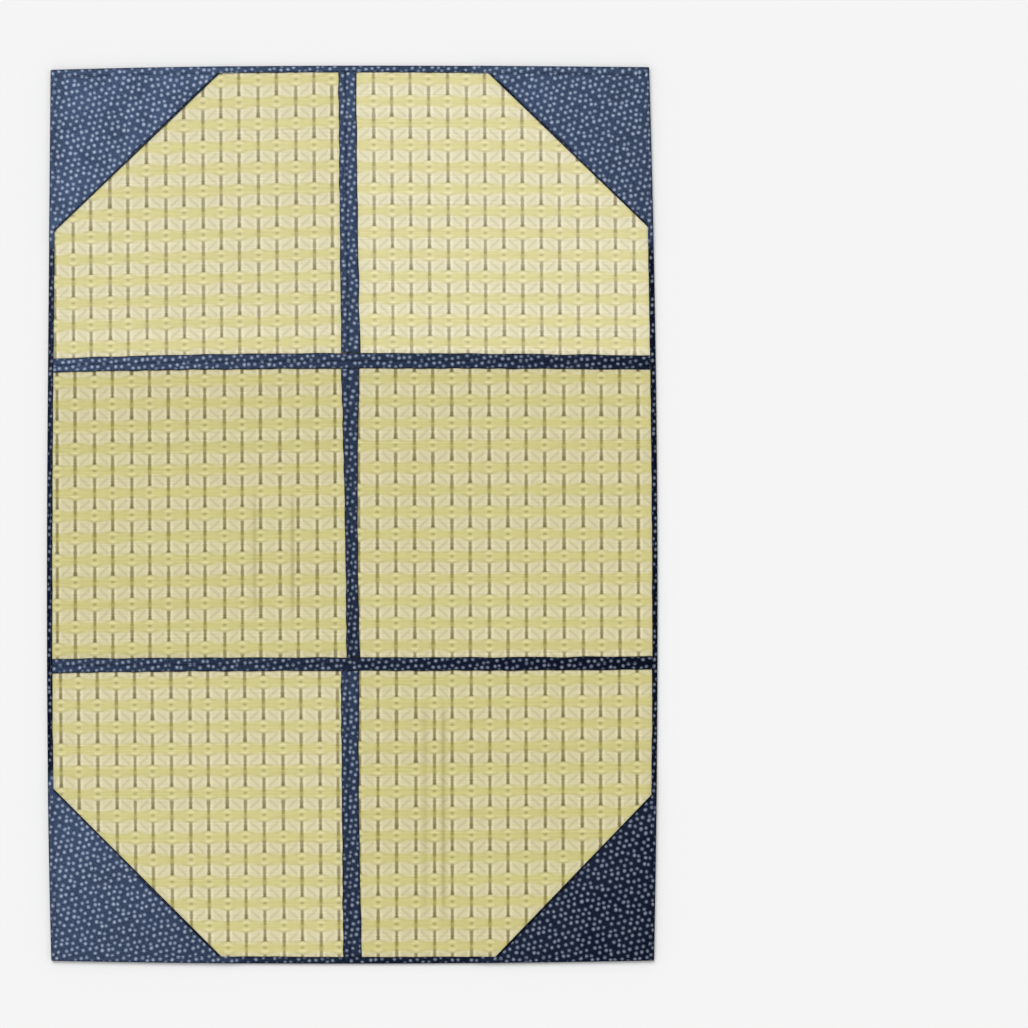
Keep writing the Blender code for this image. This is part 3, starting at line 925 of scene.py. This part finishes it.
def edge_stitches(edges, start, end, runs_across):
    """Lines of stitches just inside both edges of a strip."""
    ends = beside(start, STRIP_END_ROOM), beside(end, -STRIP_END_ROOM)
    stations = between(*ends, np.linspace(0.0, 1.0, 60))
    paths = []
    for edge, inward in zip(edges, (1, -1)):
        lengthwise = beside(edge, inward * STITCH_INSET)
        x, y = meet(stations, lengthwise) if runs_across else meet(lengthwise, stations)
        paths.append(np.stack([x, y, np.full_like(x, LIP_TOP)], axis=1))
    return paths


def lip_stitches(side, tips):
    """A line of stitches just outside the lip of a binding."""
    runs_along = side in ("left", "right")
    ends = ("foot", "head") if runs_along else ("left", "right")
    low, high = (float(OUTER[end](0.0)) for end in ends)
    stations = np.linspace(low + BINDING_END_ROOM, high - BINDING_END_ROOM, 160)
    across = LIP[side](stations) - INWARD[side] * STITCH_INSET
    height = LIP_TOP + corner_rise(stations, tips)
    x, y = (across, stations) if runs_along else (stations, across)
    return [np.stack([x, y, height], axis=1)]


def slant_stitches(row, side):
    """A line of stitches just inside the slanted edge of a corner cloth."""
    (side_x, side_y), (end_x, end_y) = CORNERS[row, side]
    ends = np.array([[side_x, side_y], [end_x, end_y]]) * MM
    way = ends[1] - ends[0]
    normal = np.array([-way[1], way[0]]) / np.linalg.norm(way)
    corner = np.array([OUTER[side](0.0), OUTER[row](0.0)])
    normal = normal * np.sign(normal @ (corner - ends[0]))
    shares = np.linspace(0.03, 0.97, 40)[:, None]
    flat = ends[0] + shares * way + normal * STITCH_INSET
    height = np.full((len(flat), 1), LIP_TOP + GAP)
    return [np.concatenate([flat, height], axis=1)]


def stitch_tree(material):
    """Geometry nodes that lay one short thread at each step along the edges of a mesh."""
    group = bpy.data.node_groups.new("topstitch", "GeometryNodeTree")
    face = group.interface
    face.new_socket("Lines", in_out="INPUT", socket_type="NodeSocketGeometry")
    for label in ("Pitch", "Length", "Thread"):
        face.new_socket(label, in_out="INPUT", socket_type="NodeSocketFloat")
    face.new_socket("Stitches", in_out="OUTPUT", socket_type="NodeSocketGeometry")
    nodes = Nodes(group)
    given = nodes.add("NodeGroupInput", {}, {})
    ports = {port.name: Socket(nodes, port) for port in given.output.node.outputs if port.name}
    pitch, length, thread = ports["Pitch"], ports["Length"], ports["Thread"]

    # One stitch: a short bow along X, thinner at its two ends
    low, high = nodes.join(length * -0.5, 0.0), nodes.join(length * 0.5, 0.0)
    crown = nodes.add("ShaderNodeCombineXYZ", {}, {2: thread * 1.1})
    bow_inputs = {"Resolution": 4, "Start": low, "Middle": crown, "End": high}
    bow = nodes.add("GeometryNodeCurveQuadraticBezier", {}, bow_inputs)
    ring_inputs = {"Resolution": 5, "Radius": thread * 0.5}
    ring = nodes.add("GeometryNodeCurvePrimitiveCircle", {}, ring_inputs)
    tube_inputs = {"Curve": bow, "Profile Curve": ring, "Fill Caps": True}
    stitch = nodes.add("GeometryNodeCurveToMesh", {}, tube_inputs)

    lines = nodes.add("GeometryNodeMeshToCurve", {}, {"Mesh": ports["Lines"]})
    steps = {"Curve": lines, "Length": pitch}
    spaced = nodes.add("GeometryNodeResampleCurve", {"mode": "LENGTH"}, steps)
    tangent = nodes.add("GeometryNodeInputTangent", {}, {})
    turn = nodes.add("FunctionNodeAlignRotationToVector", {"axis": "X"}, {"Vector": tangent})
    skews = {2: -STITCH_SKEW, 3: STITCH_SKEW, "Seed": SEED}
    skew = nodes.add("FunctionNodeRandomValue", {"data_type": "FLOAT"}, skews, 1)
    spin = nodes.add("ShaderNodeCombineXYZ", {}, {2: skew})
    tilt = nodes.add("FunctionNodeEulerToRotation", {}, {0: spin})
    turn = nodes.add("FunctionNodeRotateRotation", {}, {0: turn, 1: tilt})
    inputs = {"Points": spaced, "Instance": stitch, "Rotation": turn}
    laid = nodes.add("GeometryNodeInstanceOnPoints", {}, inputs)
    real = nodes.add("GeometryNodeRealizeInstances", {}, {0: laid})
    dressed = nodes.add("GeometryNodeSetMaterial", {}, {"Geometry": real, "Material": material})
    nodes.add("NodeGroupOutput", {}, {0: dressed})
    return group


def topstitching(paths, material):
    """All the stitches of the mat as one plain mesh."""
    points = np.concatenate(paths)
    edges, start = [], 0
    for path in paths:
        edges += [(start + i, start + i + 1) for i in range(len(path) - 1)]
        start += len(path)
    mesh = bpy.data.meshes.new("stitch_lines")
    mesh.from_pydata(points, edges, [])
    lines = bpy.data.objects.new("stitch_lines", mesh)
    bpy.context.scene.collection.objects.link(lines)
    modifier = lines.modifiers.new("topstitch", "NODES")
    modifier.node_group = stitch_tree(material)
    sizes = {"Pitch": STITCH_PITCH, "Length": STITCH_LENGTH, "Thread": THREAD}
    for item in modifier.node_group.interface.items_tree:
        if item.in_out == "INPUT" and item.name in sizes:
            modifier[item.identifier] = sizes[item.name]
    bpy.context.view_layer.update()
    evaluated = lines.evaluated_get(bpy.context.evaluated_depsgraph_get())
    stitches = bpy.data.meshes.new_from_object(evaluated)
    stitches.name = "topstitching"
    bpy.data.objects.remove(lines, do_unlink=True)
    stitches.shade_smooth()
    piece = bpy.data.objects.new("topstitching", stitches)
    bpy.context.scene.collection.objects.link(piece)
    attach(piece, "root")


# Floor, light and camera


def lay_floor():
    """A pale floor just below the mat."""
    mesh = bpy.data.meshes.new("studio_floor")
    corners = [(-1, -1), (1, -1), (1, 1), (-1, 1)]
    points = [(FLOOR_REACH * x, FLOOR_REACH * y, -FLOOR_DROP) for x, y in corners]
    mesh.from_pydata(points, [], [(0, 1, 2, 3)])
    mesh.materials.append(floor_finish())
    floor = bpy.data.objects.new("studio_floor", mesh)
    bpy.context.scene.collection.objects.link(floor)
    floor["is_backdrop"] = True


def light_room():
    """Even light all round, and a broad soft light from above the mat's head."""
    world = bpy.data.worlds.new("even_light")
    world.use_nodes = True
    shade = world.node_tree.nodes["Background"].inputs
    shade["Color"].default_value = (1.0, 1.0, 1.0, 1.0)
    shade["Strength"].default_value = EVEN_LIGHT
    bpy.context.scene.world = world
    lamp = bpy.data.lights.new("soft_light", "SUN")
    lamp.energy = SOFT_LIGHT
    lamp.angle = np.radians(SOFT_BREADTH)
    holder = bpy.data.objects.new("soft_light", lamp)
    holder.rotation_euler = (*np.radians(SOFT_TILT), 0.0)
    bpy.context.scene.collection.objects.link(holder)


def place_camera():
    """Straight above, at the photograph's frame and scale."""
    lens = bpy.data.cameras.new("camera")
    lens.sensor_width = SENSOR
    lens.lens = SENSOR * (CAMERA_HEIGHT - RUSH) / (PHOTO_SIDE * MM)
    camera = bpy.data.objects.new("camera", lens)
    x = (PHOTO_SIDE / 2 - MAT_PIXEL[0]) * MM
    y = (MAT_PIXEL[1] - PHOTO_SIDE / 2) * MM
    camera.location = (x, y, CAMERA_HEIGHT)
    bpy.context.scene.collection.objects.link(camera)
    bpy.context.scene.camera = camera


# The whole mat


def sew_mat():
    """All the pieces of the mat."""
    rush = rush_finish()
    cotton = cotton_finish()
    web = JOINT_WEB / 2 + EDGE_ROOM
    hem = {side: beside(OUTER[side], INWARD[side] * (COTTON + EDGE_ROOM)) for side in OUTER}
    joint = {row: between(*CROSS[row], CROSS_GROOVE_AT) for row in CROSS}
    lengthwise = {
        "foot": ((hem["foot"], LIP["foot"]), (beside(joint["foot"], -web), CROSS["foot"][0])),
        "middle": (
            (beside(joint["foot"], web), CROSS["foot"][1]),
            (beside(joint["head"], -web), CROSS["head"][0]),
        ),
        "head": ((beside(joint["head"], web), CROSS["head"][1]), (hem["head"], LIP["head"])),
    }
    paths = []
    for row, (foot, head) in lengthwise.items():
        groove = between(*CENTRE[row], CENTRE_GROOVE_AT)
        left_of_joint = (beside(groove, -web), CENTRE[row][0])
        right_of_joint = (beside(groove, web), CENTRE[row][1])
        outer_left, outer_right = (hem["left"], LIP["left"]), (hem["right"], LIP["right"])
        rush_square(row, "left", (outer_left, left_of_joint, foot, head), rush)
        rush_square(row, "right", (right_of_joint, outer_right, foot, head), rush)

        start, end = beside(foot[1], GAP), beside(head[1], -GAP)
        name = f"centre_strip_cloth_{row}"
        bright = CENTRE_PAINTED_LIGHT[row]
        strip(name, CENTRE[row], start, end, CENTRE_GROOVE_AT, CENTRE_GROOVE, False, bright, cotton)
        paths += edge_stitches(CENTRE[row], start, end, False)

    start, end = beside(LIP["left"], GAP), beside(LIP["right"], -GAP)
    for row, edges in CROSS.items():
        name = f"cross_strip_cloth_{row}"
        strip(name, edges, start, end, CROSS_GROOVE_AT, CROSS_GROOVE, True, CROSS_PAINTED_LIGHT, cotton)
        paths += edge_stitches(edges, start, end, True)

    for side in ("left", "right"):
        tips = [CORNERS[row, side][0][1] * MM for row in ("foot", "head")]
        binding(side, ("foot", "head"), tips, cotton)
        paths += lip_stitches(side, tips)
    for row in ("foot", "head"):
        tips = [CORNERS[row, side][1][0] * MM for side in ("left", "right")]
        binding(row, ("left", "right"), tips, cotton)
        paths += lip_stitches(row, tips)
    for row, side in CORNERS:
        corner_cloth(row, side, cotton)
        paths += slant_stitches(row, side)
    topstitching(paths, thread_finish())


lay_floor()
light_room()
sew_mat()
place_camera()
bpy.context.scene.view_settings.view_transform = "Standard"

visual_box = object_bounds()
{"cad": np.array(cad_box).tolist(), "visual": np.array(visual_box).tolist()}
